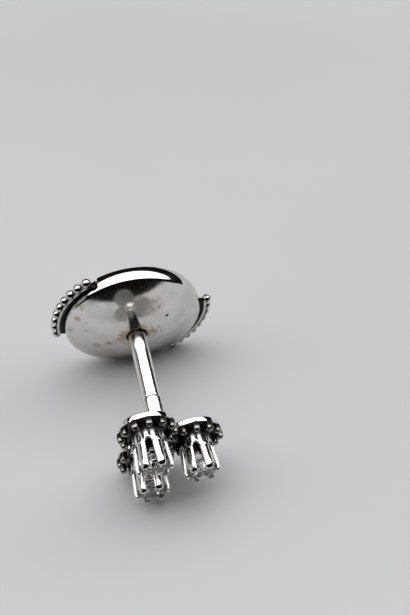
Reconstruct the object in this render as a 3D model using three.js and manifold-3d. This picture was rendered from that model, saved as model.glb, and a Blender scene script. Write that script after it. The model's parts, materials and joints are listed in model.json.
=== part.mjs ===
// A stud earring: three claw-set stones on disc cups, soldered round one post, and a round
// safety clutch with two squeeze tabs that slides on the post.
// Millimetres and degrees, +Z up. The earring lies on z = 0 with its head towards -Y.

import * as THREE from "three";
import { ConvexGeometry } from "three/addons/geometries/ConvexGeometry.js";
import { mergeVertices } from "three/addons/utils/BufferGeometryUtils.js";
import Module from "manifold-3d";

const wasm = await Module();
wasm.setup();

// How the earring lies: the axis falls towards the head, and the head and clutch are turned about it.
const restFall = 6.96;
const cupTurn = 116.1;
const clutchTurn = 153.1;

// Post, measured along the axis from the back plane of the cups
const postRadius = 0.62;
const postLength = 10.35;
const postTipDome = 0.45;
const collarRadius = 0.71;
const collarLength = 2.6;
const collarStep = 0.06;
const solderRadius = 1.02;
const solderHeight = 0.34;

// Cups: discs whose edges just meet, each with a ring of small lugs on its front edge
const cupCount = 3;
const cupCircle = 2.06;
const discRadius = 1.81;
const discThickness = 0.42;
const discEdgeRound = 0.07;
const lugCount = 12;
const lugRadius = 0.25;
const lugCircle = 1.66;
const lugHeight = 0.62;
const lugStretch = 1.5;

// Claw collets: flared tubes with notches between the claws
const clawCount = 6;
const colletTurn = 40;
const colletFoot = 0.3;
const colletFootRadius = 1.0;
const colletTopRadius = 1.2;
const colletWall = 0.27;
const clawTipRadius = 0.98;
const clawTipHeight = 3.22;
const notchFloor = 1.3;
const notchFloorWidth = 0.46;
const notchTopWidth = 0.66;

// Stones: round brilliants, with the girdle height measured from the back plane of the cups.
// The table, star and lower rings are fractions of the stone's radius, crown and pavilion.
const stoneRadius = 1.04;
const stoneGirdleHeight = 2.8;
const stoneGirdle = 0.05;
const stoneCrown = 0.3;
const stonePavilion = 0.88;
const stoneTable = 0.58;
const stoneSeatGap = 0.04;
const stoneMains = 8;
const starRadius = 0.79;
const starHeight = 0.62;
const lowerRadius = 0.22;
const lowerDepth = 0.8;

// Clutch, measured from the front edge of its case, which lies this far behind the cups
const clutchSetback = 9;
const caseRadius = 4.72;
const caseBulge = 0.12;
const caseDepth = 1.05;
const caseWall = 0.27;
const domeRise = 1.25;
const shellThickness = 0.2;
const clutchHoleRadius = 0.76;
const slotHalfAngle = 37;
const slotFront = 0.22;

// Back plate of the clutch, inside the wall, with ears that close the slots and a boss round the hole
const plateFit = 0.05;
const plateBack = 0.97;
const plateFront = 0.81;
const plateLip = 0.22;
const plateEarHalfAngle = 35.5;
const plateEarBack = 1.03;
const plateEarRadius = 4.7;
const bossOuterRadius = 1.88;
const bossHeight = 0.58;

// Squeeze tabs: a flat neck inside the case, a curved strip outside it and a row of beads
const tabHalfAngle = 32.5;
const tabStripInner = 5.0;
const tabStripOuter = 5.36;
const tabStripThickness = 0.54;
const tabNeckInner = 3.0;
const tabNeckHalfWidth = 2.3;
const tabNeckThickness = 0.36;
const beadCount = 9;
const beadRadius = 0.29;
const beadCircle = 5.4;
const beadHalfAngle = 31;

const roundSegments = 40;
const cupSegments = 24;
const postSegments = 20;
const beadSegments = 8;
const beadRings = 5;
const lugSegments = 6;
const lugRings = 4;
const notchSegments = 4;

const whiteMetal = { color: 0xc8c6c1, roughness: 0.16, metalness: 1 };
const clearStone = { color: 0xf3f6f8, roughness: 0.02, metalness: 0 };

const radians = THREE.MathUtils.degToRad;

// A closed geometry as a solid, once only its positions are left and merged
function solidOf(geometry) {
  const bare = geometry.clone();
  bare.deleteAttribute("normal");
  bare.deleteAttribute("uv");
  const merged = mergeVertices(bare, 1e-5);
  const corners = merged.index.array;
  const triangles = [];
  for (let i = 0; i < corners.length; i += 3) {
    const [a, b, c] = corners.slice(i, i + 3);
    if (a !== b && b !== c && c !== a) triangles.push(a, b, c);
  }
  const vertProperties = new Float32Array(merged.attributes.position.array);
  const triVerts = new Uint32Array(triangles);
  return new wasm.Manifold(new wasm.Mesh({ numProp: 3, vertProperties, triVerts }));
}

function meshOf(solid, name, finish) {
  const { numProp, vertProperties, triVerts } = solid.getMesh();
  const positions = new Float32Array((vertProperties.length / numProp) * 3);
  for (let i = 0; i * numProp < vertProperties.length; i += 1) {
    positions.set(vertProperties.subarray(i * numProp, i * numProp + 3), i * 3);
  }
  const geometry = new THREE.BufferGeometry();
  geometry.setAttribute("position", new THREE.BufferAttribute(positions, 3));
  geometry.setIndex(new THREE.BufferAttribute(new Uint32Array(triVerts), 1));
  geometry.computeVertexNormals();
  const mesh = new THREE.Mesh(geometry, new THREE.MeshStandardMaterial(finish));
  mesh.name = name;
  return mesh;
}

// A profile of [radius, height] points turned about the Z axis
function turned(profile, segments) {
  const points = profile.map(([radius, height]) => new THREE.Vector2(radius, height));
  const geometry = new THREE.LatheGeometry(points, segments);
  return solidOf(geometry.rotateX(Math.PI / 2));
}

// Points of an elliptic arc in a profile, angles counted from the outward direction
function arc(centreRadius, centreHeight, halfWidth, halfHeight, fromAngle, toAngle, steps) {
  return Array.from({ length: steps + 1 }, (_, i) => {
    const angle = radians(fromAngle + ((toAngle - fromAngle) * i) / steps);
    return [centreRadius + halfWidth * Math.cos(angle), centreHeight + halfHeight * Math.sin(angle)];
  });
}

// A flat shape raised from one height to another
function raised(shape, bottom, top, curveSegments = 12) {
  const settings = { depth: top - bottom, bevelEnabled: false, curveSegments };
  const geometry = new THREE.ExtrudeGeometry(shape, settings);
  return solidOf(geometry.translate(0, 0, bottom));
}

// A ring sector centred on +X
function sector(innerRadius, outerRadius, halfAngle) {
  const half = radians(halfAngle);
  const shape = new THREE.Shape();
  shape.absarc(0, 0, outerRadius, -half, half, false);
  shape.absarc(0, 0, innerRadius, half, -half, true);
  shape.closePath();
  return shape;
}

function joined(solids) {
  return solids.reduce((whole, solid) => whole.add(solid));
}

function makePost() {
  const shoulder = collarLength + collarStep;
  return turned([
    ...arc(0, postTipDome - postLength, postRadius, postTipDome, -90, 0, 4),
    [postRadius, -shoulder],
    [collarRadius, -collarLength],
    [collarRadius, -solderHeight],
    ...arc(solderRadius, -solderHeight, collarRadius - solderRadius, solderHeight, 0, 90, 3).slice(1),
    [solderRadius, discThickness / 2],
    [0, discThickness / 2],
  ], postSegments);
}

function makeDisc() {
  return turned([
    [0, 0],
    [discRadius - discEdgeRound, 0],
    [discRadius, discEdgeRound],
    [discRadius, discThickness - discEdgeRound],
    [discRadius - discEdgeRound, discThickness],
    [0, discThickness],
  ], cupSegments);
}

function makeLug(index) {
  const geometry = new THREE.SphereGeometry(lugRadius, lugSegments, lugRings);
  geometry.rotateX(Math.PI / 2);
  geometry.scale(1, 1, lugStretch);
  geometry.translate(lugCircle, 0, lugHeight);
  geometry.rotateZ((index / lugCount) * 2 * Math.PI);
  return solidOf(geometry);
}

// A notch with a round floor that widens upwards, carried right across the collet
function makeNotch(index) {
  const floorHalf = notchFloorWidth / 2;
  const topHalf = notchTopWidth / 2;
  const top = clawTipHeight + stoneCrown;
  const shape = new THREE.Shape();
  shape.absarc(0, notchFloor + floorHalf, floorHalf, -Math.PI, 0, false);
  shape.lineTo(topHalf, top);
  shape.lineTo(-topHalf, top);
  shape.closePath();
  const reach = 2 * colletTopRadius;
  const settings = { depth: 2 * reach, bevelEnabled: false, curveSegments: notchSegments };
  const geometry = new THREE.ExtrudeGeometry(shape, settings);
  geometry.translate(0, 0, -reach);
  geometry.rotateX(Math.PI / 2);
  geometry.rotateZ(radians(colletTurn + (index / clawCount) * 360));
  return solidOf(geometry);
}

// The room that a stone takes, a little larger than the stone
function makeSeat() {
  const radius = stoneRadius + stoneSeatGap;
  const girdleTop = stoneGirdleHeight + stoneGirdle + stoneSeatGap;
  const slope = stonePavilion / stoneRadius;
  return turned([
    [0, stoneGirdleHeight - radius * slope],
    [radius, stoneGirdleHeight],
    [radius, girdleTop],
    [stoneTable * stoneRadius, girdleTop + stoneCrown],
    [0, girdleTop + stoneCrown],
  ], cupSegments);
}

function makeCollet() {
  const tipRound = (colletTopRadius - clawTipRadius) / 2;
  const bodyTop = stoneGirdleHeight + stoneGirdle;
  const tube = turned([
    [colletFootRadius - colletWall, colletFoot],
    [colletFootRadius, colletFoot],
    [colletTopRadius, bodyTop],
    [clawTipRadius + tipRound, clawTipHeight - tipRound],
    [clawTipRadius, clawTipHeight],
    [clawTipRadius - tipRound, clawTipHeight - tipRound],
    [colletTopRadius - colletWall, bodyTop - colletWall],
    [colletFootRadius - colletWall, colletFoot],
  ], cupSegments);
  const notches = Array.from({ length: clawCount / 2 }, (_, i) => makeNotch(i));
  return tube.subtract(joined(notches)).subtract(makeSeat());
}

function makeStone() {
  const ring = (count, radius, height, offset) => Array.from({ length: count }, (_, i) => {
    const angle = ((i + offset) / count) * 2 * Math.PI;
    return new THREE.Vector3(radius * Math.cos(angle), radius * Math.sin(angle), height);
  });
  const girdleTop = stoneGirdleHeight + stoneGirdle;
  const points = [
    ...ring(stoneMains, stoneTable * stoneRadius, girdleTop + stoneCrown, 0),
    ...ring(stoneMains, starRadius * stoneRadius, girdleTop + starHeight * stoneCrown, 0.5),
    ...ring(2 * stoneMains, stoneRadius, girdleTop, 0),
    ...ring(2 * stoneMains, stoneRadius, stoneGirdleHeight, 0),
    ...ring(stoneMains, lowerRadius * stoneRadius, stoneGirdleHeight - lowerDepth * stonePavilion, 0.5),
    new THREE.Vector3(0, 0, stoneGirdleHeight - stonePavilion),
  ];
  return solidOf(new ConvexGeometry(points));
}

function makeCase() {
  const domeHeight = (radius) => domeRise * (1 - (radius / caseRadius) ** 2);
  const steps = 6;
  const radii = Array.from({ length: steps + 1 }, (_, i) => {
    return clutchHoleRadius + ((caseRadius - clutchHoleRadius) * i) / steps;
  });
  const innerRadius = caseRadius - caseWall;
  const innerRadii = radii.filter((radius) => radius < innerRadius);
  const outside = radii.map((radius) => [radius, domeHeight(radius)]).reverse();
  const inside = innerRadii.map((radius) => [radius, domeHeight(radius) - shellThickness]);
  const wall = arc(caseRadius, -caseDepth / 2, caseBulge, caseDepth / 2, -90, 90, 5).slice(0, -1);
  const shell = turned([
    ...wall,
    ...outside,
    ...inside,
    [innerRadius, domeHeight(innerRadius) - shellThickness],
    [innerRadius, -caseDepth],
    wall[0],
  ], roundSegments);
  const opening = sector(innerRadius - caseWall, tabStripOuter, slotHalfAngle);
  const slot = raised(opening, -2 * caseDepth, -slotFront);
  const otherSlot = slot.rotate([0, 0, 180]);
  return shell.subtract(slot).subtract(otherSlot);
}

function makeBack() {
  const outerRadius = caseRadius - caseWall - plateFit;
  const bossMiddle = (clutchHoleRadius + bossOuterRadius) / 2;
  const bossHalfWidth = (bossOuterRadius - clutchHoleRadius) / 2;
  const plate = turned([
    [clutchHoleRadius, -plateFront],
    ...arc(bossMiddle, -plateBack, bossHalfWidth, bossHeight, -180, 0, 7),
    [outerRadius - plateLip, -plateBack],
    [outerRadius - plateLip, -caseDepth],
    [outerRadius, -caseDepth],
    [outerRadius, -plateFront],
    [clutchHoleRadius, -plateFront],
  ], roundSegments);
  const earShape = sector(outerRadius - plateLip / 2, plateEarRadius, plateEarHalfAngle);
  const ear = raised(earShape, -plateEarBack, -plateFront);
  return plate.add(ear).add(ear.rotate([0, 0, 180]));
}

// A tab that points along +X, centred on the middle of the wall
function makeTab() {
  const middle = -caseDepth / 2;
  const neckReach = (tabStripInner + tabStripOuter) / 2;
  const neckAngle = Math.asin(tabNeckHalfWidth / neckReach);
  const neck = new THREE.Shape();
  neck.moveTo(tabNeckInner, tabNeckHalfWidth);
  neck.lineTo(tabNeckInner, -tabNeckHalfWidth);
  neck.absarc(0, 0, neckReach, -neckAngle, neckAngle, false);
  neck.closePath();
  const strip = sector(tabStripInner, tabStripOuter, tabHalfAngle);
  const beads = Array.from({ length: beadCount }, (_, i) => {
    const angle = radians(-beadHalfAngle + (2 * beadHalfAngle * i) / (beadCount - 1));
    const geometry = new THREE.SphereGeometry(beadRadius, beadSegments, beadRings);
    geometry.rotateX(Math.PI / 2);
    geometry.translate(beadCircle, 0, middle);
    return solidOf(geometry.rotateZ(angle));
  });
  return joined([
    raised(neck, middle - tabNeckThickness / 2, middle + tabNeckThickness / 2),
    raised(strip, middle - tabStripThickness / 2, middle + tabStripThickness / 2),
    ...beads,
  ]);
}

const head = new THREE.Group();
head.rotation.z = radians(cupTurn);
const cup = joined([makeDisc(), makeCollet(), ...Array.from({ length: lugCount }, (_, i) => makeLug(i))]);
const stone = makeStone();
const cups = [];
for (let i = 0; i < cupCount; i += 1) {
  const turn = (i / cupCount) * 360;
  cups.push(cup.translate([cupCircle, 0, 0]).rotate([0, 0, turn]));
  head.add(meshOf(stone.translate([cupCircle, 0, 0]).rotate([0, 0, turn]), `stone_${i + 1}`, clearStone));
}
head.add(meshOf(joined([makePost(), ...cups]), "head_setting", whiteMetal));

const clutch = new THREE.Group();
clutch.position.z = -clutchSetback;
clutch.rotation.z = radians(clutchTurn);
const tab = makeTab();
clutch.add(meshOf(makeCase(), "clutch_case", whiteMetal));
clutch.add(meshOf(makeBack(), "clutch_back", whiteMetal));
clutch.add(meshOf(tab, "tab_left", whiteMetal));
clutch.add(meshOf(tab.rotate([0, 0, 180]), "tab_right", whiteMetal));

const earring = new THREE.Group();
earring.rotation.x = radians(90 + restFall);
earring.add(head, clutch);

// Set down with the middle of its outline over the origin
earring.updateMatrixWorld(true);
const outline = new THREE.Box3().setFromObject(earring, true);
const middle = outline.getCenter(new THREE.Vector3());
earring.position.set(-middle.x, -middle.y, -outline.min.z);

export default earring;
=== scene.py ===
import json
import math

import bmesh
import bpy
import numpy as np
from mathutils import Matrix, Vector


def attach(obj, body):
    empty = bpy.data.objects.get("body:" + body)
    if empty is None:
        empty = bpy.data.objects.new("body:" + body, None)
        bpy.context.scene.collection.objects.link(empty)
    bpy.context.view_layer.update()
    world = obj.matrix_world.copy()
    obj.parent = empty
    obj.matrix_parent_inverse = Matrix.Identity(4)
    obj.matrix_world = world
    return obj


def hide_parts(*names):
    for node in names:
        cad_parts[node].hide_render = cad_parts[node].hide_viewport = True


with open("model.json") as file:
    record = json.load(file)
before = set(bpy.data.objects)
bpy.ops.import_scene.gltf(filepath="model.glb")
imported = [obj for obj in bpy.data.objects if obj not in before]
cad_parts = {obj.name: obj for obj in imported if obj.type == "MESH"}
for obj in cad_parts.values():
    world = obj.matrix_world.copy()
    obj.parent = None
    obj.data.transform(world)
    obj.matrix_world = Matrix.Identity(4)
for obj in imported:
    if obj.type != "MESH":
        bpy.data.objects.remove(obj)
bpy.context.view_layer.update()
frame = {"record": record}
print("earring: frame loaded")

# The earring's own frame: z runs along the post to the stones, y points up, millimetres
record = frame["record"]
joints = {joint["name"]: joint for joint in record["behaviour"]["joints"]}
mounts = {mount["name"]: mount for mount in record["mounts"]}
mm = 0.001
mergeGap = 1e-8          # metres: points nearer than this become one
flatEdge = 1e-9          # metres: edges shorter than this are dissolved

layout = {
    "cupCount": 3,
    "cupTurn": 116.1,        # first cup about the post, degrees from +X
    "cupCircle": 2.06,       # post axis to cup axis
    "mountReach": 2.9,       # post axis to the flat-face mount on the first cup
    "clutchSetback": 9.0,    # cups' back plane to the clutch's front edge
}


def unitAt(degrees):
    # unit vector across the post at an angle
    turn = math.radians(degrees)
    return np.array([math.cos(turn), math.sin(turn), 0.0])


alongPost = np.array(joints["clutch_slide"]["axis"])
acrossPost = np.array([1.0, 0.0, 0.0])
axes = np.stack([acrossPost, np.cross(alongPost, acrossPost), alongPost], axis=1)
cupMount = np.array(mounts["cup_back"]["pos_m"])
headOrigin = cupMount - axes @ unitAt(layout["cupTurn"]) * layout["mountReach"] * mm
tabOutward = -axes.T @ np.array(joints["tab_left_squeeze"]["axis"])
clutchTurn = math.degrees(math.atan2(tabOutward[1], tabOutward[0]))
postFall = math.degrees(math.asin(-alongPost[2]))


def toWorld(points):
    # points of the earring's frame, turned and moved into the shared frame, in metres
    return points @ axes.T * mm + headOrigin


def turned(points, degrees):
    # points turned about the post's axis
    c, s = math.cos(math.radians(degrees)), math.sin(math.radians(degrees))
    return points @ np.array([[c, s, 0.0], [-s, c, 0.0], [0.0, 0.0, 1.0]])


# Shape helpers
def arcOf(centre, radii, start, stop, count):
    # points of an elliptic arc: centre plus the radii times the cosine and sine of each angle
    angle = np.radians(np.linspace(start, stop, count))
    return np.array(centre) + np.array(radii) * np.stack([np.cos(angle), np.sin(angle)], axis=1)


def loopOf(columns, acrossPower, upPower):
    # one turn of a rounded square: cosine and sine, each raised to a power below one to square it off
    around = np.linspace(0.0, 2.0 * math.pi, columns, endpoint=False)
    c, s = np.cos(around), np.sin(around)
    return np.sign(c) * np.abs(c) ** acrossPower, np.sign(s) * np.abs(s) ** upPower


def latheOf(profile, columns):
    # each (radius, height) point of the profile is carried round the z axis
    profile = np.asarray(profile, dtype=float)
    angle = np.linspace(0.0, 2.0 * math.pi, columns, endpoint=False)
    radius = profile[:, :1]
    height = np.repeat(profile[:, 1:], columns, axis=1)
    return np.stack([radius * np.cos(angle), radius * np.sin(angle), height], axis=2)


def ballOf(rows, columns):
    # unit sphere: a half circle carried round
    return latheOf(arcOf((0.0, 0.0), (1.0, 1.0), -90, 90, rows), columns)


def quadsOf(rows, columns, closeRows, offset=0):
    # each grid cell is a quad between neighbours; columns always wrap round, rows where the grid closes
    index = np.arange(rows * columns).reshape(rows, columns) + offset
    index = np.concatenate([index, index[:1]], axis=0) if closeRows else index
    index = np.concatenate([index, index[:, :1]], axis=1)
    corners = [index[:-1, :-1], index[:-1, 1:], index[1:, 1:], index[1:, :-1]]
    return np.stack(corners, axis=-1).reshape(-1, 4)


def capped(rows):
    # the first and last rows are repeated, drawn together at their middle, so that the ends close
    first, last = [np.repeat(row.mean(axis=1, keepdims=True), rows.shape[1], axis=1)
                   for row in (rows[:1], rows[-1:])]
    return np.concatenate([first, rows, last])


# Mesh helpers
def linked(name, data):
    # a mesh, lamp or camera becomes an object of the scene
    piece = bpy.data.objects.new(name, data)
    bpy.context.scene.collection.objects.link(piece)
    return piece


def closedPiece(name, points, faces, smooth):
    # points in the earring's frame become a mesh, with doubles merged and faces turned outward
    mesh = bpy.data.meshes.new(name)
    mesh.from_pydata(toWorld(points).tolist(), [], faces)
    cleaned = bmesh.new()
    cleaned.from_mesh(mesh)
    bmesh.ops.remove_doubles(cleaned, verts=cleaned.verts, dist=mergeGap)
    bmesh.ops.dissolve_degenerate(cleaned, edges=cleaned.edges, dist=flatEdge)
    bmesh.ops.recalc_face_normals(cleaned, faces=cleaned.faces)
    cleaned.to_mesh(mesh)
    cleaned.free()
    mesh.polygons.foreach_set("use_smooth", [smooth] * len(mesh.polygons))
    return linked(name, mesh)


def gridPiece(name, grids, closeRows=False):
    # several grids become one mesh
    starts = np.cumsum([0] + [grid.shape[0] * grid.shape[1] for grid in grids])
    quads = [quadsOf(*grid.shape[:2], closeRows, start) for grid, start in zip(grids, starts)]
    points = np.concatenate([grid.reshape(-1, 3) for grid in grids])
    return closedPiece(name, points, np.concatenate(quads).tolist(), True)


def sharpen(piece, degrees):
    # edges that turn by more than this angle stay crisp under smooth shading
    piece.data.set_sharp_from_angle(angle=math.radians(degrees))
    return piece


def settle(piece, body, node, material):
    # a finish, the body that carries the piece, the solid that it stands for and its metal or stone
    piece.data.materials.append(material)
    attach(piece, body)
    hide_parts(node)


# Shader maths on sockets
class Wire:
    def __init__(self, tree, socket=None):
        self.tree = tree
        self.socket = socket

    def node(self, kind, settings, inputs, output=0):
        made = self.tree.nodes.new(kind)
        for key, value in settings.items():
            setattr(made, key, value)
        for key, value in inputs.items():
            if isinstance(value, Wire):
                self.tree.links.new(value.socket, made.inputs[key])
            else:
                made.inputs[key].default_value = value
        return Wire(self.tree, made.outputs[output])

    def maths(self, operation, left, right):
        return self.node("ShaderNodeMath", {"operation": operation}, {0: left, 1: right})

    def __add__(self, other):
        return self.maths("ADD", self, other)

    def __radd__(self, other):
        return self.maths("ADD", other, self)

    def __sub__(self, other):
        return self.maths("SUBTRACT", self, other)

    def __rsub__(self, other):
        return self.maths("SUBTRACT", other, self)

    def __mul__(self, other):
        return self.maths("MULTIPLY", self, other)

    def __rmul__(self, other):
        return self.maths("MULTIPLY", other, self)

    def __pow__(self, other):
        return self.maths("POWER", self, other)

    def __abs__(self):
        return self.node("ShaderNodeMath", {"operation": "ABSOLUTE"}, {0: self})

    def step(self, low, high):
        # 0 below low, 1 above high, smooth between
        return self.node("ShaderNodeMapRange", {"interpolation_type": "SMOOTHSTEP"},
                         {"Value": self, "From Min": low, "From Max": high})

    def mix(self, colourA, colourB):
        # colours mixed by this value; 6, 7 and 2 are the node's colour sockets
        return self.node("ShaderNodeMix", {"data_type": "RGBA"}, {0: self, 6: colourA, 7: colourB}, 2)


def startMaterial(name):
    # an empty material with one shader, and a wire to draw on
    material = bpy.data.materials.new(name)
    material.use_nodes = True
    tree = material.node_tree
    tree.nodes.clear()
    shader = tree.nodes.new("ShaderNodeBsdfPrincipled")
    output = tree.nodes.new("ShaderNodeOutputMaterial")
    tree.links.new(shader.outputs["BSDF"], output.inputs["Surface"])
    return material, shader, Wire(tree)


def feed(wire, shader, **inputs):
    # links and plain values go to the sockets of that name, with an underscore for a space
    for key, value in inputs.items():
        socket = shader.inputs[key.replace("_", " ")]
        if isinstance(value, Wire):
            wire.tree.links.new(value.socket, socket)
        else:
            socket.default_value = value


def earringCoords(wire):
    # Object coordinates turned into the earring's own frame, in millimetres from the cups' back plane
    centre = axes.T @ headOrigin / mm
    turn = (-math.radians(90.0 + postFall), 0.0, 0.0)
    coords = wire.node("ShaderNodeTexCoord", {}, {}, "Object")
    return wire.node("ShaderNodeMapping", {"vector_type": "POINT"},
                     {"Vector": coords, "Location": tuple(-centre), "Rotation": turn,
                      "Scale": (1 / mm, 1 / mm, 1 / mm)})


def split(wire, coords):
    # the three coordinates, each as a value
    return [wire.node("ShaderNodeSeparateXYZ", {}, {0: coords}, axis) for axis in range(3)]


def fromAxis(x, y):
    # distance across the post from its axis
    return (x ** 2.0 + y ** 2.0) ** 0.5


def noise(wire, coords, scale, detail=3.0, rough=0.55):
    return wire.node("ShaderNodeTexNoise", {},
                     {"Vector": coords, "Scale": scale, "Detail": detail, "Roughness": rough})


def bumpFrom(wire, height, strength, depth):
    # a bump for Normal, its depth in millimetres
    return wire.node("ShaderNodeBump", {}, {"Height": height, "Strength": strength, "Distance": depth * mm})


def weighed(weights, **masks):
    # the base value, plus each mask times its own weight
    total = weights["base"]
    for key, mask in masks.items():
        total = total + mask * weights[key]
    return total


# Hairline scratches: how far each is drawn out, how thin it is, and the loose patches that it keeps to
lineLook = {"stretch": (0.3, 0.02, 0.15), "noise": (1.0, 1.0, 0.5), "middle": 0.5, "thin": (0.001, 0.006),
            "patch": 0.07, "patchRange": (0.46, 0.62)}


def hairlines(wire, coords, turn, fine, look):
    # noise stretched along one direction, kept near its middle value and in loose patches
    stretch = tuple(share * fine for share in look["stretch"])
    drawn = wire.node("ShaderNodeMapping", {"vector_type": "POINT"},
                      {"Vector": coords, "Rotation": turn, "Scale": stretch})
    offset = abs(noise(wire, drawn, *look["noise"]) - look["middle"])
    patch = noise(wire, coords, look["patch"] * fine).step(*look["patchRange"])
    return (1.0 - offset.step(*look["thin"])) * patch


def crossedLines(wire, coords, families, reach):
    # two families of hairlines laid over each other
    first, second = [hairlines(wire, coords, turn, fine, lineLook) for turn, fine in families]
    return (first + second).step(*reach)


# Metal tones, from bright polish down to dirt and the dark tones of painted shade
metalLook = {
    "clean": (0.86, 0.85, 0.83, 1.0),
    "soft": (0.76, 0.745, 0.72, 1.0),
    "satin": (0.70, 0.69, 0.67, 1.0),
    "worn": (0.66, 0.64, 0.61, 1.0),
    "dull": (0.60, 0.58, 0.55, 1.0),
    "brown": (0.38, 0.27, 0.17, 1.0),
    # the next tone, for the lugs, is painted shade: it stands for the shade under the discs' rims
    "lugShade": (0.32, 0.302, 0.277, 1.0),
    "pit": (0.10, 0.08, 0.07, 1.0),
    # the next tone is real dirt on the back plate and painted shade on the claws; black and the darkest tone
    # after it are painted shade
    "dirtAndShade": (0.075, 0.065, 0.056, 1.0),
    "black": (0.025, 0.021, 0.018, 1.0),
    "deepShade": (0.006, 0.005, 0.0045, 1.0),
}

# Polished metal: what the post, claws, lugs and tabs share, then what differs between them
polishLook = {
    "patch": (0.9,), "patchRange": (0.42, 0.72), "patchRough": 0.5,
    "lines": (((0.4, 0.7, 0.3), 9.0), ((1.2, -0.5, 1.1), 7.0)), "lineReach": (0.05, 1.0),
    "lineRough": 0.16, "lineDepth": -0.05,
    "grime": (2.6, 5.0), "grimeRange": (0.60, 0.78), "grimeShare": 0.45, "grimeRough": 0.08,
    "wave": (1.3, 2.0), "grain": (14.0,), "grainDepth": 0.04,
    "crust": (4.5, 5.0, 0.65), "crustRange": (0.35, 0.65), "crustTones": (0.4, 0.6), "crustDepth": 0.5,
    "cover": {"base": 0.85, "crust": 0.35}, "shadeRough": 0.32,
    "bump": (0.5, 0.02),
}
postFinish = {"haze": 0.12, "wave": 0.5, "scratch": 0.9, "metal": "clean"}
# the claws, lugs and tabs carry painted shade; their last entry names its two dark tones
clawFinish = {"haze": 0.11, "wave": 0.9, "scratch": 0.5, "metal": "clean", "crust": ("black", "dirtAndShade")}
lugFinish = {"haze": 0.09, "wave": 0.8, "scratch": 0.4, "metal": "lugShade", "crust": ("deepShade", "black")}
tabFinish = {"haze": 0.10, "wave": 0.4, "scratch": 0.8, "metal": "worn", "crust": ("deepShade", "black")}


def polishedMetal(name, finish, look, shadeOf=None):
    # mirror metal with hazy patches, hairline scratches, a faint waviness, and painted shade, dark, rougher
    # and mottled, where the given mask places it
    material, shader, wire = startMaterial(name)
    coords = earringCoords(wire)
    haze, scratch = finish["haze"], finish["scratch"]
    patch = noise(wire, coords, *look["patch"]).step(*look["patchRange"])
    lines = crossedLines(wire, coords, look["lines"], look["lineReach"])
    grime = noise(wire, coords, *look["grime"]).step(*look["grimeRange"])
    colour = (grime * look["grimeShare"]).mix(metalLook[finish["metal"]], metalLook["dull"])
    rough = weighed({"base": haze, "patch": look["patchRough"] * haze, "lines": look["lineRough"] * scratch,
                     "grime": look["grimeRough"]}, patch=patch, lines=lines, grime=grime)
    height = weighed({"base": 0.0, "wave": finish["wave"], "lines": look["lineDepth"] * scratch,
                      "grain": look["grainDepth"]}, wave=noise(wire, coords, *look["wave"]),
                     lines=lines, grain=noise(wire, coords, *look["grain"]))
    # painted shade: where the mask falls, the metal turns dark, rougher and slightly bumped, mottled by noise
    if shadeOf:
        crust = noise(wire, coords, *look["crust"])
        cover = weighed(look["cover"], crust=crust.step(*look["crustRange"]))
        dirtAndShade = (shadeOf(*split(wire, coords)) * cover).step(0.0, 1.0)
        tones = [metalLook[tone] for tone in finish["crust"]]
        colour = dirtAndShade.mix(colour, crust.step(*look["crustTones"]).mix(*tones))
        rough = rough + dirtAndShade * look["shadeRough"]
        height = height + dirtAndShade * crust * look["crustDepth"]
    feed(wire, shader, Base_Color=colour, Roughness=rough, Metallic=1.0,
         Normal=bumpFrom(wire, height, *look["bump"]))
    return material


# Where painted shade goes: heights from the cups' back plane, and distances from the post's axis
shadeLook = {"recess": (0.55, 1.25), "roots": (0.55, 0.86), "slot": (5.06, 5.13),
            "beadsFrom": (5.27, 5.32), "beadsTo": (5.36, 5.42), "beadsShare": 0.8}


def inRecess(x, y, z):
    # painted shade in the recess under the cups' rims, on the claws' bases, fading along the collets
    return 1.0 - z.step(*shadeLook["recess"])


def atRoots(x, y, z):
    # painted shade over the lugs below their tips, where they sit under the discs' rims
    return 1.0 - z.step(*shadeLook["roots"])


def besideStrips(x, y, z):
    # painted shade in the gap between the clutch's edge and the strips of the tabs, and in a line under the
    # beads
    radius = fromAxis(x, y)
    underBeads = radius.step(*shadeLook["beadsFrom"]) * (1.0 - radius.step(*shadeLook["beadsTo"]))
    return 1.0 - radius.step(*shadeLook["slot"]) + underBeads * shadeLook["beadsShare"]


# Dome: places across the post and radii of its pits and stains, in millimetres
domeLook = {
    "pits": [(2.2, 1.3, 0.17), (1.7, -0.1, 0.08), (-1.9, -2.5, 0.06)],
    "stains": [(-3.8, 1.9, 0.34), (-1.0, 0.3, 0.6), (1.25, 0.3, 0.75), (-1.4, -0.35, 0.6), (-2.0, -0.6, 0.5),
               (-2.8, -1.0, 0.5), (-3.5, 3.0, 0.5), (-4.4, 0.5, 0.3), (-3.5, 0.8, 0.3), (1.5, 2.6, 0.8)],
    "spotCore": 0.35, "pitRange": (0.1, 0.8),
    "cloud": (1.1, 4.0), "toneRange": (0.35, 0.7), "hazeRange": (0.4, 0.75),
    "speckle": (2.7, 5.0, 0.7), "specks": (9.0, 2.0), "specksRange": (0.67, 0.72),
    "ring": (0.80, 1.6), "ringSpeckle": (0.38, 0.60), "ringShare": {"base": 0.25, "speckle": 0.75},
    "stainSpeckle": (0.42, 0.60), "stainShare": {"base": 0.2, "speckle": 0.8},
    "brown": {"base": 0.0, "ring": 1.0, "stains": 0.9, "specks": 0.7},
    "brownRange": (0.02, 1.1), "brownShare": 0.8,
    "lines": (((0.0, 0.0, 0.5), 8.0), ((0.0, 0.0, 1.9), 6.0)), "lineReach": (0.1, 1.0),
    "rough": {"base": 0.10, "cloud": 0.04, "lines": 0.05, "brown": 0.25, "pits": 0.3},
    "height": {"base": 0.0, "cloud": 0.2, "lines": -0.02, "speckle": 0.03, "pits": -0.9},
    "bump": (0.45, 0.03),
}


def spotsOn(x, y, spots, core):
    # sum of soft round spots, each at a place across the post with its own radius
    total = 0.0
    for spotX, spotY, radius in spots:
        total = total + (1.0 - fromAxis(x - spotX, y - spotY).step(core * radius, radius))
    return total


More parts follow.
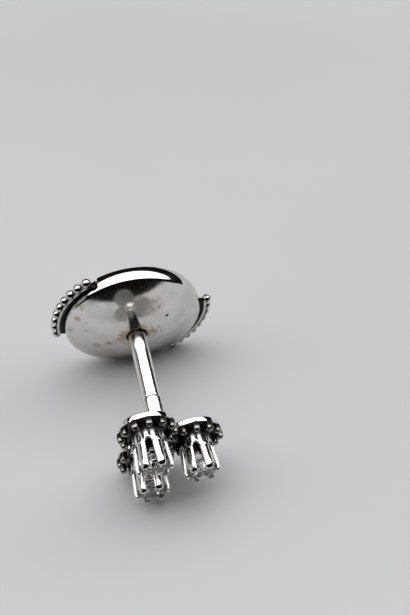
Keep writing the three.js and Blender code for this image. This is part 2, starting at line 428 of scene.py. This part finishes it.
def domeMetal(look):
    # slightly hazy mirror metal, brown tarnish round the hole, a few stains and pits, fine wiping scratches
    material, shader, wire = startMaterial("domeMetal")
    coords = earringCoords(wire)
    x, y = split(wire, coords)[:2]
    cloud = noise(wire, coords, *look["cloud"])
    speckle = noise(wire, coords, *look["speckle"])
    ring = 1.0 - fromAxis(x, y).step(*look["ring"])
    ring = ring * weighed(look["ringShare"], speckle=speckle.step(*look["ringSpeckle"]))
    stains = spotsOn(x, y, look["stains"], look["spotCore"])
    stains = stains * weighed(look["stainShare"], speckle=speckle.step(*look["stainSpeckle"]))
    pits = spotsOn(x, y, look["pits"], look["spotCore"])
    specks = noise(wire, coords, *look["specks"]).step(*look["specksRange"])
    brown = weighed(look["brown"], ring=ring, stains=stains, specks=specks).step(*look["brownRange"])
    lines = crossedLines(wire, coords, look["lines"], look["lineReach"])
    clean = cloud.step(*look["toneRange"]).mix(metalLook["soft"], metalLook["worn"])
    stained = (brown * look["brownShare"]).mix(clean, metalLook["brown"])
    colour = pits.step(*look["pitRange"]).mix(stained, metalLook["pit"])
    haze = cloud.step(*look["hazeRange"])
    rough = weighed(look["rough"], cloud=haze, lines=lines, brown=brown, pits=pits)
    height = weighed(look["height"], cloud=cloud, lines=lines, speckle=speckle, pits=pits)
    feed(wire, shader, Base_Color=colour, Roughness=rough, Metallic=1.0,
         Normal=bumpFrom(wire, height, *look["bump"]))
    return material


# Cup discs: satin backs with file marks, bright edges and painted shade on their fronts, by height from the
# back plane
satinLook = {
    "back": (0.015, 0.05), "front": (0.34, 0.41),
    "lines": (((0.0, 0.0, 0.9), 13.0), ((0.0, 0.0, -0.4), 9.0)), "lineReach": (0.1, 1.0),
    "cloud": (1.6, 5.0), "toneRange": (0.3, 0.75), "grain": (22.0, 4.0),
    "crust": (2.4, 5.0, 0.65), "crustRange": (0.35, 0.65), "cover": {"base": 0.55, "crust": 0.45},
    "backRough": {"base": 0.24, "cloud": 0.16, "lines": 0.10},
    "rough": {"base": 0.07, "back": 1.0, "front": 0.2},
    "backHeight": {"base": 0.0, "lines": -0.35, "grain": 0.4}, "cloudHeight": 0.1,
    "bump": (0.5, 0.012),
}


def satinMetal(look):
    # dull satin cup backs with crossing file marks, under bright polished edges, with mottled painted shade
    # on the fronts
    material, shader, wire = startMaterial("satinCups")
    coords = earringCoords(wire)
    z = split(wire, coords)[2]
    onBack = 1.0 - z.step(*look["back"])
    lines = crossedLines(wire, coords, look["lines"], look["lineReach"])
    cloud = noise(wire, coords, *look["cloud"])
    grain = noise(wire, coords, *look["grain"])
    crust = noise(wire, coords, *look["crust"]).step(*look["crustRange"])
    # painted shade on the discs' fronts, mottled by noise, darkens the clean edge tone towards black
    onFront = z.step(*look["front"]) * weighed(look["cover"], crust=crust)
    edge = onFront.mix(metalLook["clean"], metalLook["black"])
    colour = onBack.mix(edge, cloud.step(*look["toneRange"]).mix(metalLook["satin"], metalLook["dull"]))
    backRough = onBack * weighed(look["backRough"], cloud=cloud, lines=lines)
    rough = weighed(look["rough"], back=backRough, front=onFront)
    height = onBack * weighed(look["backHeight"], lines=lines, grain=grain) + cloud * look["cloudHeight"]
    feed(wire, shader, Base_Color=colour, Roughness=rough, Metallic=1.0,
         Normal=bumpFrom(wire, height, *look["bump"]))
    return material


# Back plate: distances of its seam and of the stain round its boss from the post's axis
plateFinish = {
    "seamFrom": (4.08, 4.14), "seamTo": (4.18, 4.24), "boss": (1.88, 2.78),
    "cloud": (0.9, 4.0), "toneRange": (0.35, 0.7), "hazeRange": (0.4, 0.75),
    "flecks": (6.0, 4.0, 0.7), "flecksRange": (0.68, 0.76),
    "stain": (3.0, 5.0, 0.7), "stainRange": (0.40, 0.62), "stainShare": 0.7,
    "lines": (((0.0, 0.0, 1.2), 7.0), ((0.0, 0.0, 0.2), 10.0)), "lineReach": (0.1, 1.0),
    "dirty": {"base": 0.0, "flecks": 0.5, "seam": 0.9},
    "worn": {"base": 0.0, "lines": 0.35, "cloud": 0.65},
    "rough": {"base": 0.07, "cloud": 0.08, "lines": 0.12, "dirty": 0.25, "stain": 0.15},
    "height": {"base": 0.0, "cloud": 0.5, "lines": -0.05, "flecks": -0.1},
    "bump": (0.6, 0.05),
}


def plateMetal(look):
    # polished back plate with soft wiping marks, a dark seam, a stain round the boss and a few dark flecks
    material, shader, wire = startMaterial("plateMetal")
    coords = earringCoords(wire)
    radius = fromAxis(*split(wire, coords)[:2])
    cloud = noise(wire, coords, *look["cloud"])
    flecks = noise(wire, coords, *look["flecks"]).step(*look["flecksRange"])
    seam = (1.0 - radius.step(*look["seamTo"])) * radius.step(*look["seamFrom"])
    lines = crossedLines(wire, coords, look["lines"], look["lineReach"])
    dirty = weighed(look["dirty"], flecks=flecks, seam=seam).step(0.0, 1.0)
    stain = noise(wire, coords, *look["stain"]).step(*look["stainRange"])
    stain = (1.0 - radius.step(*look["boss"])) * stain
    wear = weighed(look["worn"], lines=lines, cloud=cloud.step(*look["toneRange"]))
    worn = wear.mix(metalLook["soft"], metalLook["worn"])
    colour = dirty.mix((stain * look["stainShare"]).mix(worn, metalLook["brown"]), metalLook["dirtAndShade"])
    haze = cloud.step(*look["hazeRange"])
    rough = weighed(look["rough"], cloud=haze, lines=lines, dirty=dirty, stain=stain)
    height = weighed(look["height"], cloud=cloud, lines=lines, flecks=flecks)
    feed(wire, shader, Base_Color=colour, Roughness=rough, Metallic=1.0,
         Normal=bumpFrom(wire, height, *look["bump"]))
    return material


# Stones: two faint tints, and a little dust
glassLook = {"tint": (1.4,), "cool": (0.97, 0.985, 1.0, 1.0), "warm": (1.0, 0.985, 0.955, 1.0),
             "dust": (7.0, 4.0), "dustRange": (0.60, 0.80), "dustRough": 0.05, "ior": 2.1}


def clearStone(look):
    # clear cut stone with the faintest warm cloud and a little dust on its facets
    material, shader, wire = startMaterial("clearStone")
    coords = earringCoords(wire)
    tint = noise(wire, coords, *look["tint"]).mix(look["cool"], look["warm"])
    dust = noise(wire, coords, *look["dust"]).step(*look["dustRange"])
    feed(wire, shader, Base_Color=tint, Roughness=dust * look["dustRough"], Metallic=0.0,
         IOR=look["ior"], Transmission_Weight=1.0)
    return material


postMetal = polishedMetal("polishedPost", postFinish, polishLook)
# the claws, lugs and tabs get painted shade from the masks inRecess, atRoots and besideStrips
clawMetal = polishedMetal("polishedClaws", clawFinish, polishLook, inRecess)
lugMetal = polishedMetal("shadedLugs", lugFinish, polishLook, atRoots)
tabMetal = polishedMetal("polishedTabs", tabFinish, polishLook, besideStrips)
caseMetal = domeMetal(domeLook)
cupMetal = satinMetal(satinLook)
backMetal = plateMetal(plateFinish)
stoneGlass = clearStone(glassLook)
print("earring: finishes made")

# Post: domed tip, plain shaft, thin seam, thicker collar and a solder fillet at the cups
postLook = {"radius": 0.62, "length": 10.35, "dome": 0.45, "domeRows": 14, "rowGap": 0.1, "shaftRows": 24,
            "collar": 0.71, "collarLength": 2.6, "collarTurn": -75, "collarRows": 6,
            "seamDepth": 0.03, "seam": (0.08, 0.05, 0.02),
            "solder": 1.02, "solderHeight": 0.34, "solderRows": 10, "foot": 0.21, "columns": 72}


def makePost(look):
    # a profile from the tip to the cups: elliptic dome, straight shaft, stepped collar, concave fillet
    radius, collar, solder, gap = look["radius"], look["collar"], look["solder"], look["rowGap"]
    tip = look["dome"] - look["length"]
    top = -look["collarLength"]
    step = collar - radius
    shaft = np.linspace(tip + gap, top - 2.0 * gap, look["shaftRows"])
    groove, fillet = radius - look["seamDepth"], look["solderHeight"]
    before, start, stop = look["seam"]
    profile = np.concatenate([
        arcOf((0.0, tip), (radius, look["dome"]), -90, 0, look["domeRows"]),
        np.stack([np.full_like(shaft, radius), shaft], axis=1),
        [[radius, top - before], [groove, top - start], [groove, top - stop]],
        arcOf((collar - step, top + step), (step, step), look["collarTurn"], 0, look["collarRows"]),
        [[collar, top + 3.0 * gap], [collar, -fillet - gap]],
        arcOf((solder, -fillet), (collar - solder, fillet), 0, 90, look["solderRows"]),
        [[solder, look["foot"]], [0.0, look["foot"]]],
    ])
    return gridPiece("post", [latheOf(profile, look["columns"])])


settle(makePost(postLook), "head", "head_setting", postMetal)
print("earring: post made")

# Cups: a flat disc with a rounded bright edge and a ring of small lugs on its front edge
discLook = {"radius": 1.81, "thickness": 0.42, "edge": 0.09, "edgeRows": 7, "flatEnd": 1.3, "flatRows": 10,
            "columns": 96}
lugLook = {"count": 12, "circle": 1.66, "height": 0.62, "radius": 0.25, "stretch": 1.5, "square": 3.4,
           "uneven": 0.08, "lap": 2.4, "rows": 15, "columns": 20}


def cupCentre(index):
    # place and angle of a cup, evenly round the post
    turn = layout["cupTurn"] + 360.0 * index / layout["cupCount"]
    return unitAt(turn) * layout["cupCircle"], turn


def discGrid(look):
    # a flat back, a quarter round, a short wall, a quarter round and a flat front, carried round
    r, t, e = look["radius"], look["thickness"], look["edge"]
    flat = np.linspace(0.0, r - look["flatEnd"] * e, look["flatRows"])
    back = np.stack([flat, np.zeros_like(flat)], axis=1)
    front = np.stack([flat[::-1], np.full_like(flat, t)], axis=1)
    backEdge = arcOf((r - e, e), (e, e), -90, 0, look["edgeRows"])
    frontEdge = arcOf((r - e, t - e), (e, e), 0, 90, look["edgeRows"])
    return latheOf(np.concatenate([back, backEdge, frontEdge, front]), look["columns"])


def lugGrids(look):
    # each lug is a rounded-square sphere stretched along the cup's axis, set on a circle, no two quite alike
    ball = ballOf(look["rows"], look["columns"])
    tooth = np.sign(ball) * np.abs(ball) ** (2.0 / look["square"]) * look["radius"]
    tooth = tooth * np.array([1.0, 1.0, look["stretch"]])
    seat = np.array([look["circle"], 0.0, look["height"]])
    lap = np.arange(look["count"])
    size = 1.0 - look["uneven"] * (1.0 + np.sin(look["lap"] * lap ** 2))
    return [turned(tooth * size[i] + seat, 360.0 * i / look["count"]) for i in lap]


# Claw collets: a scalloped ring, with claws that lean out and hook in over the stone
ringLook = {"foot": 0.3, "footRadius": 1.0, "topRadius": 1.2, "topHeight": 2.85, "wall": 0.27, "floor": 1.3,
            "rise": 0.32, "notchShare": 0.42, "lip": 0.06, "lipRows": 9, "rows": 10, "columns": 144}
clawLook = {"count": 6, "turn": 40.0, "start": 0.75, "bend": 2.62, "tip": 3.22, "tipRadius": 0.93,
            "hookPower": 2.2, "hookThin": 0.25, "width": 0.66, "tipWidth": 0.52, "depth": 0.27, "square": 3.2,
            "capStart": 0.93, "rows": 40, "columns": 20}
ringLean = (ringLook["topRadius"] - ringLook["footRadius"]) / (ringLook["topHeight"] - ringLook["foot"])


def ringGrid(ring, claw):
    # a flared tube whose top edge dips in a round notch between each pair of claws
    angle = np.linspace(0.0, 2.0 * math.pi, ring["columns"], endpoint=False)
    pitch = 2.0 * math.pi / claw["count"]
    away = np.abs((angle - math.radians(claw["turn"]) + 0.5 * pitch) % pitch - 0.5 * pitch) / (0.5 * pitch)
    dip = np.sqrt(1.0 - np.clip(away / ring["notchShare"], 0.0, 1.0) ** 2)
    top = ring["floor"] + ring["rise"] * (1.0 - dip)
    up = np.linspace(0.0, 1.0, ring["rows"])[:, None]
    outerZ = ring["foot"] + (top - ring["lip"] - ring["foot"]) * up
    outerR = ring["footRadius"] + ringLean * (outerZ - ring["foot"])
    bow = np.radians(np.linspace(0.0, 180.0, ring["lipRows"]))[1:-1, None]
    lipR = ring["footRadius"] + ringLean * (top - ring["foot"]) - 0.5 * ring["wall"] * (1.0 - np.cos(bow))
    lipZ = top - ring["lip"] + ring["lip"] * np.sin(bow)
    radius = np.concatenate([outerR, lipR, outerR[::-1] - ring["wall"]])
    height = np.concatenate([outerZ, lipZ, outerZ[::-1]])
    return np.stack([radius * np.cos(angle), radius * np.sin(angle), height], axis=2)


def clawGrids(ring, claw):
    # a rounded-square section carried up a straight lean, then round a hook, shrinking to a round tip
    t = np.linspace(0.0, 1.0, claw["rows"])
    z = claw["start"] + (claw["tip"] - claw["start"]) * t
    hook = np.clip((z - claw["bend"]) / (claw["tip"] - claw["bend"]), 0.0, 1.0)
    middle = ring["footRadius"] + ringLean * (z - ring["foot"]) - 0.5 * claw["depth"]
    r = middle + (claw["tipRadius"] - middle) * hook ** claw["hookPower"]
    slopeR, slopeZ = np.gradient(r), np.gradient(z)
    size = np.hypot(slopeR, slopeZ)
    normalR, normalZ = slopeZ / size, -slopeR / size
    cap = np.sqrt(1.0 - np.clip((t - claw["capStart"]) / (1.0 - claw["capStart"]), 0.0, 1.0) ** 2)
    half = 0.5 * (claw["width"] + (claw["tipWidth"] - claw["width"]) * t) * cap
    deep = 0.5 * claw["depth"] * (1.0 - claw["hookThin"] * hook) * cap
    c, s = loopOf(claw["columns"], 2.0 / claw["square"], 2.0 / claw["square"])
    bulge = half[:, None] ** 2 * c ** 2 / (2.0 * ring["topRadius"])
    x = r[:, None] + deep[:, None] * s * normalR[:, None] - bulge
    y = half[:, None] * c
    height = z[:, None] + deep[:, None] * s * normalZ[:, None]
    one = np.stack([x, y, height], axis=2)
    pitch = 360.0 / claw["count"]
    return [turned(one, claw["turn"] + pitch * (i + 0.5)) for i in range(claw["count"])]


# Stones: round brilliants with a table, stars, kites, girdle and pavilion facets
stoneLook = {"radius": 1.04, "girdleHeight": 2.8, "girdle": 0.05, "crown": 0.3, "pavilion": 0.88,
             "table": 0.58, "star": 0.79, "lower": 0.24, "mains": 8}


def brilliant(name, look, centre, turn):
    # rings of corners at the table, stars, girdle and lower facets; each kite lies flat in its plane
    n, r = look["mains"], look["radius"]
    half = math.pi / n
    starX = look["star"] * math.cos(half)
    lowX = look["lower"] * math.cos(half)
    base, top = look["girdleHeight"], look["girdleHeight"] + look["girdle"]
    starZ = top + look["crown"] * (1.0 - starX) / (1.0 - look["table"])
    rings = [(n, look["table"] * r, top + look["crown"], 0.0), (n, look["star"] * r, starZ, half),
             (2 * n, r, top, 0.0), (2 * n, r, base, 0.0),
             (n, look["lower"] * r, base - look["pavilion"] * (1.0 - lowX), half)]
    points = []
    for count, radius, height, start in rings:
        angle = start + 2.0 * math.pi * np.arange(count) / count
        corners = [radius * np.cos(angle), radius * np.sin(angle), np.full(count, height)]
        points.append(np.stack(corners, axis=1))
    points.append(np.array([[0.0, 0.0, base - look["pavilion"]]]))
    table, star, girdle, under, low, culet = np.cumsum([0] + [len(ring) for ring in points])[:6].tolist()
    faces = [tuple(range(table, table + n))]
    for k in range(n):
        after, before, a, b, c = (k + 1) % n, (k - 1) % n, 2 * k, 2 * k + 1, (2 * k + 2) % (2 * n)
        faces.append((table + k, star + k, table + after))
        faces.append((table + k, star + before, girdle + a, star + k))
        faces += [(star + k, girdle + a, girdle + b), (star + k, girdle + b, girdle + c)]
        faces.append((girdle + a, under + a, under + b, girdle + b))
        faces.append((girdle + b, under + b, under + c, girdle + c))
        faces += [(under + a, low + k, under + b), (under + b, low + k, under + c)]
        faces.append((under + a, low + before, culet, low + k))
    return closedPiece(name, turned(np.concatenate(points), turn) + centre, faces, False)


for index in range(layout["cupCount"]):
    centre, turn = cupCentre(index)
    label = str(index + 1)
    parts = [
        ("cupDisc", [discGrid(discLook)], False, cupMetal),
        ("cupLugs", lugGrids(lugLook), False, lugMetal),
        ("colletRing", [ringGrid(ringLook, clawLook)], True, clawMetal),
        ("colletClaws", clawGrids(ringLook, clawLook), False, clawMetal),
    ]
    for name, grids, closeRows, finish in parts:
        placed = [turned(grid, turn) + centre for grid in grids]
        piece = gridPiece(name + label, placed, closeRows)
        settle(piece, "head", "head_setting", finish)
    stone = brilliant("stone" + label, stoneLook, centre, turn + clawLook["turn"])
    settle(stone, "head", "stone_" + label, stoneGlass)
print("earring: cups, collets and stones made")

# Clutch case: a dome with a round hole, and a rounded wall with a slot for each tab
caseLook = {"radius": 4.72, "bulge": 0.12, "bulgePower": 0.8, "depth": 1.05, "wall": 0.27, "rise": 1.25,
            "shell": 0.2, "hole": 0.76, "holeLip": 0.06, "slot": 37.0, "slotFront": 0.22, "crease": 38,
            "wallRows": 9, "rimRows": 5, "domeRows": 40, "lipRows": 5, "insideRows": 20,
            "slotColumns": 45, "wallColumns": 75}


def domeHeight(radius, look):
    # a paraboloid that falls from the rise at the axis to zero at the case's edge
    return look["rise"] * (1.0 - (radius / look["radius"]) ** 2)


def wallRadius(z, look):
    # the case's radius plus a sine bulge over the wall's depth
    share = np.clip(-z / look["depth"], 0.0, 1.0)
    return look["radius"] + look["bulge"] * np.sin(math.pi * share) ** look["bulgePower"]


def caseProfile(look, wallZ):
    # up the outside of the wall, over the dome, round the hole's edge, and back down the inside
    rimZ = np.linspace(-look["slotFront"], 0.0, look["rimRows"])[1:]
    lip = look["holeLip"]
    domeR = np.linspace(look["radius"], look["hole"] + lip, look["domeRows"])[1:]
    domeZ = domeHeight(domeR, look)
    inner = look["radius"] - look["wall"]
    insideR = np.linspace(look["hole"], inner, look["insideRows"])
    return np.concatenate([
        np.stack([wallRadius(wallZ, look), wallZ], axis=1),
        np.stack([wallRadius(rimZ, look), rimZ], axis=1),
        np.stack([domeR, domeZ], axis=1),
        arcOf((look["hole"] + lip, domeZ[-1] - lip), (lip, lip), 90, 180, look["lipRows"])[1:],
        np.stack([insideR, domeHeight(insideR, look) - look["shell"]], axis=1),
        np.stack([np.full_like(wallZ, inner), wallZ[::-1]], axis=1),
    ])


def makeCase(look):
    # the closed profile carried round, with the wall's cells left out in the slots and their edges bridged
    slotDegrees = np.linspace(-look["slot"], look["slot"], look["slotColumns"])[:-1]
    wallDegrees = np.linspace(look["slot"], 180.0 - look["slot"], look["wallColumns"])[:-1]
    degrees = np.concatenate([slotDegrees, wallDegrees, slotDegrees + 180.0, wallDegrees + 180.0])
    inSlot = np.tile(np.arange(len(slotDegrees) + len(wallDegrees)) < len(slotDegrees), 2)
    wallRows = look["wallRows"]
    profile = caseProfile(look, np.linspace(-look["depth"], -look["slotFront"], wallRows))
    rows, columns = len(profile), len(degrees)
    angle = np.radians(degrees)
    points = np.stack([profile[:, :1] * np.cos(angle), profile[:, :1] * np.sin(angle),
                       np.repeat(profile[:, 1:], columns, axis=1)], axis=2)
    index = np.arange(rows * columns).reshape(rows, columns)
    after = np.roll(index, -1, axis=1)
    lower, upper = np.arange(rows), np.roll(np.arange(rows), -1)
    inWall = (lower < wallRows - 1) | (lower >= rows - wallRows)
    keep = ~(inWall[:, None] & inSlot[None, :])
    cells = np.stack([index[lower], after[lower], after[upper], index[upper]], axis=-1)[keep]
    front, back = wallRows - 1, rows - wallRows
    bridge = np.stack([index[front], after[front], after[back], index[back]], axis=-1)[inSlot]
    edges = np.flatnonzero(inSlot != np.roll(inSlot, 1))
    outer = index[:wallRows][:, edges]
    opposite = index[::-1][:wallRows][:, edges]
    cheeks = np.stack([outer[:-1], outer[1:], opposite[1:], opposite[:-1]], axis=-1).reshape(-1, 4)
    return points, np.concatenate([cells, bridge, cheeks])


def clutchPiece(name, points, quads, crease):
    # points in the clutch's own frame, with the left tab along +X, put behind the cups
    placed = turned(points.reshape(-1, 3), clutchTurn) - np.array([0.0, 0.0, layout["clutchSetback"]])
    return sharpen(closedPiece(name, placed, quads.tolist(), True), crease)


case = clutchPiece("clutchCase", *makeCase(caseLook), caseLook["crease"])
settle(case, "clutch", "clutch_case", caseMetal)

# Back plate: flat, with a lip that stops at the tabs, ears behind the tabs and a round boss at the hole
plateLook = {"radius": 4.4, "back": 0.97, "front": 0.81, "lip": 0.22, "lipBack": 1.05, "lipSlope": 0.03,
             "edgeRound": 0.04, "hole": 0.76, "holeStep": 0.3, "flatRows": 16,
             "boss": 1.88, "bossHeight": 0.58, "bossEnd": -4, "bossRows": 30,
             "ear": 4.7, "earAngle": 35.5, "crease": 38, "columns": 240}


def plateGrid(look):
    # a profile of hole, half-round boss, flat plate and lip, carried round; lip and edge change at the ears
    degrees = np.linspace(0.0, 360.0, look["columns"], endpoint=False)
    fromTab = np.abs((degrees + 90.0) % 180.0 - 90.0)
    atEar = fromTab <= look["earAngle"]
    edge = np.where(atEar, look["ear"], look["radius"])
    lipBack = np.where(atEar, look["back"], look["lipBack"])
    middle, halfWidth = 0.5 * (look["hole"] + look["boss"]), 0.5 * (look["boss"] - look["hole"])
    bossRadii = (halfWidth, look["bossHeight"])
    boss = arcOf((middle, -look["back"]), bossRadii, -180, look["bossEnd"], look["bossRows"])
    slope, lipInner = look["lipSlope"], look["radius"] - look["lip"]
    flat = np.linspace(look["boss"] + slope, lipInner - slope, look["flatRows"])
    fixed = np.concatenate([[[look["hole"], -look["front"]]], boss,
                            np.stack([flat, np.full_like(flat, -look["back"])], axis=1)])
    whole = np.ones_like(degrees)
    radius = np.array([*(r * whole for r in fixed[:, 0]), lipInner * whole, (lipInner + slope) * whole,
                       edge - look["edgeRound"], edge, edge, (look["hole"] + look["holeStep"]) * whole])
    height = np.array([*(z * whole for z in fixed[:, 1]), -look["back"] * whole, -lipBack, -lipBack,
                       -lipBack + look["edgeRound"], -look["front"] * whole, -look["front"] * whole])
    angle = np.radians(degrees)
    return np.stack([radius * np.cos(angle), radius * np.sin(angle), height], axis=2)


plate = plateGrid(plateLook)
back = clutchPiece("clutchBack", plate, quadsOf(*plate.shape[:2], True), plateLook["crease"])
settle(back, "clutch", "clutch_back", backMetal)
print("earring: clutch case and back made")

# Squeeze tabs: a flat neck, a curved strip and a row of beads
tabLook = {"half": 32.5, "strip": 5.22, "stripWidth": 0.14, "stripThick": 0.27, "stripSquare": 0.5,
           "taper": 0.25, "taperStart": 0.97, "stripRows": 41, "stripColumns": 28,
           "neckInner": 3.0, "neckReach": 5.15, "neckHalf": 2.6, "neckThick": 0.18,
           "neckSquare": (0.15, 0.3), "neckRows": 25, "neckColumns": 32,
           "beads": 9, "beadHalf": 31.0, "beadCircle": 5.36, "beadRadius": 0.33,
           "beadRows": 17, "beadColumns": 28, "crease": 50}


def stripGrid(look):
    # a rounded-square section carried along an arc, drawn in a little at its ends
    t = np.linspace(-1.0, 1.0, look["stripRows"])[:, None]
    angle = np.radians(look["half"] * t)
    c, s = loopOf(look["stripColumns"], look["stripSquare"], look["stripSquare"])
    end = np.clip((np.abs(t) - look["taperStart"]) / (1.0 - look["taperStart"]), 0.0, 1.0)
    taper = 1.0 - look["taper"] * end ** 2
    radius = look["strip"] + look["stripWidth"] * taper * c
    height = look["stripThick"] * taper * s
    return capped(np.stack([radius * np.cos(angle), radius * np.sin(angle), height], axis=2))


def neckGrid(look):
    # a flat tongue: each row across it is a loop round a thin rounded bar from the inner edge to the strip
    y = look["neckHalf"] * np.linspace(-1.0, 1.0, look["neckRows"])[:, None]
    outer = np.sqrt(look["neckReach"] ** 2 - y ** 2)
    c, s = loopOf(look["neckColumns"], *look["neckSquare"])
    x = 0.5 * (outer + look["neckInner"]) + 0.5 * (outer - look["neckInner"]) * c
    return capped(np.stack([x, y + 0.0 * x, look["neckThick"] * s + 0.0 * x], axis=2))


def beadGrids(look):
    # spheres set at even angles along the strip
    bead = ballOf(look["beadRows"], look["beadColumns"]) * look["beadRadius"]
    bead = bead + np.array([look["beadCircle"], 0.0, 0.0])
    angles = np.linspace(-look["beadHalf"], look["beadHalf"], look["beads"])
    return [turned(bead, angle) for angle in angles]


tabMiddle = np.array([0.0, 0.0, -layout["clutchSetback"] - 0.5 * caseLook["depth"]])
for node, turn in (("tab_left", 0.0), ("tab_right", 180.0)):
    side = node.split("_")[1].capitalize()
    parts = [
        ("tabStrip", [stripGrid(tabLook)]),
        ("tabNeck", [neckGrid(tabLook)]),
        ("tabBeads", beadGrids(tabLook)),
    ]
    for name, grids in parts:
        placed = [turned(grid, clutchTurn + turn) + tabMiddle for grid in grids]
        piece = sharpen(gridPiece(name + side, placed), tabLook["crease"])
        settle(piece, node, node, tabMetal)
print("earring: tabs made")

# Camera at the photograph's angle: places in millimetres, focal and long side in pixels, clip in metres
view = {"azimuth": -13.9, "elevation": 48.03, "distance": 53.05, "target": (0.0, 0.0, 4.0), "right": 3.692,
        "up": 5.367, "focal": 800.0, "longSide": 615, "sensor": 36.0, "clip": (1.0 * mm, 10.0)}


def makeCamera(look):
    # a camera that looks along its back vector, at a place beside the target
    a, e = math.radians(look["azimuth"]), math.radians(look["elevation"])
    back = np.array([math.sin(a) * math.cos(e), -math.cos(a) * math.cos(e), math.sin(e)])
    right = np.array([math.cos(a), math.sin(a), 0.0])
    up = np.cross(back, right)
    place = np.array(look["target"]) + right * look["right"] + up * look["up"] + back * look["distance"]
    data = bpy.data.cameras.new("camera")
    data.sensor_width = look["sensor"]
    data.lens = look["focal"] / look["longSide"] * data.sensor_width
    data.clip_start, data.clip_end = look["clip"]
    matrix = np.eye(4)
    matrix[:3, :] = np.stack([right, up, back, place * mm], axis=1)
    camera = linked("camera", data)
    camera.matrix_world = Matrix(matrix.tolist())
    bpy.context.scene.camera = camera


makeCamera(view)

# Floor and light: a pale sweep, one broad overhead light, a low fill and a dim room
stageLook = {"far": 600.0, "split": (0.0, -20.0, 0.0), "slant": -19.0, "colour": (0.55, 0.55, 0.56, 1.0),
             "shade": 0.97, "cloud": (25.0, 3.0), "cloudRange": (0.3, 0.7), "grain": (2500.0, 2.0),
             "bump": (0.05, 0.02), "rough": 0.75, "gloss": 0.1,
             "glow": (0.70, 0.70, 0.712, 1.0), "dark": (0.0, 0.0, 0.0, 1.0), "fade": (12.0, 130.0),
             "middle": 26.0, "widen": 0.5}
backdropLook = {"glow": (0.42, 0.42, 0.43, 1.0), "fade": (5.0, 170.0), "foot": -4.0,
                "rows": 24, "columns": 64}
lights = [
    {"name": "overhead", "size": (380.0, 105.0), "power": 0.25,
     "place": (0.0, 26.0, 95.0), "aim": (0.0, 26.0, 0.0)},
    {"name": "leftCard", "size": (200.0, 70.0), "power": 0.016,
     "place": (-200.0, 30.0, 45.0), "aim": (0.0, 0.0, 5.0)},
]
room = {"colour": (1.0, 0.93, 0.86, 1.0), "strength": 0.004}


def floorMaterial(look):
    # pale matt paper with a fine grain; far out, where the light fades, it carries its own pale tone
    material, shader, wire = startMaterial("palePaper")
    coords = wire.node("ShaderNodeTexCoord", {}, {}, "Object")
    x, y, z = split(wire, coords)
    cloud = noise(wire, coords, *look["cloud"]).step(*look["cloudRange"])
    grain = noise(wire, coords, *look["grain"])
    shade = tuple(look["shade"] * channel for channel in look["colour"][:3]) + (1.0,)
    feed(wire, shader, Base_Color=cloud.mix(look["colour"], shade), Roughness=look["rough"],
         Specular_IOR_Level=look["gloss"], Normal=bumpFrom(wire, grain, *look["bump"]))
    away = ((x * look["widen"]) ** 2.0 + (y - look["middle"] * mm) ** 2.0 + z ** 2.0) ** 0.5
    near, far = look["fade"]
    glow = away.step(near * mm, far * mm).mix(look["dark"], look["glow"])
    feed(wire, shader, Emission_Color=glow, Emission_Strength=1.0)
    material.cycles.emission_sampling = "NONE"
    return material


def stagePiece(name, points, faces, material):
    # points in millimetres become a piece of the floor or of its backdrop
    mesh = bpy.data.meshes.new(name)
    mesh.from_pydata((np.array(points) * mm).tolist(), [], faces)
    mesh.polygons.foreach_set("use_smooth", [True] * len(mesh.polygons))
    mesh.materials.append(material)
    piece = linked(name, mesh)
    return piece


def floorHalf(name, look, depth, material):
    # a flat rectangle on one side of a slanting line, since polished metal sees only the back half
    slant = math.radians(look["slant"])
    along = np.array([math.cos(slant), math.sin(slant), 0.0])
    away = np.array([-along[1], along[0], 0.0]) * depth
    reach = along * look["far"]
    left, right = np.array(look["split"]) - reach, np.array(look["split"]) + reach
    return stagePiece(name, [left, right, right + away, left + away], [(0, 1, 2, 3)], material)


def makeBackdrop(look):
    # an arc from just under the floor to the zenith, carried round
    arc = arcOf((0.0, 0.0), (look["far"], look["far"]), look["foot"], 90.0, look["rows"])
    sweep = latheOf(arc, look["columns"])
    quads = quadsOf(*sweep.shape[:2], False)
    return stagePiece("backdrop", sweep.reshape(-1, 3), quads.tolist(), floorMaterial(look))


paper = floorMaterial(stageLook)
floorHalf("floorBack", stageLook, stageLook["far"], paper)
floorFront = floorHalf("floorFront", stageLook, -stageLook["far"], paper)
floorFront.data.flip_normals()
backdrop = makeBackdrop({**stageLook, **backdropLook})
for hidden in (floorFront, backdrop):
    hidden.visible_glossy = False
    hidden.visible_transmission = False
backdrop.visible_diffuse = False
backdrop.visible_shadow = False

for light in lights:
    data = bpy.data.lights.new(light["name"], "AREA")
    data.shape = "ELLIPSE"
    data.size, data.size_y = light["size"][0] * mm, light["size"][1] * mm
    data.energy = light["power"]
    lamp = linked(light["name"], data)
    place, aim = Vector(light["place"]), Vector(light["aim"])
    lamp.location = place * mm
    lamp.rotation_euler = (aim - place).to_track_quat("-Z", "Y").to_euler()

world = bpy.data.worlds.new("room")
world.use_nodes = True
world.node_tree.nodes["Background"].inputs["Color"].default_value = room["colour"]
world.node_tree.nodes["Background"].inputs["Strength"].default_value = room["strength"]
bpy.context.scene.world = world
bpy.context.scene.view_settings.view_transform = "Standard"
print("earring: camera, floor and lights made")

bpy.context.view_layer.update()
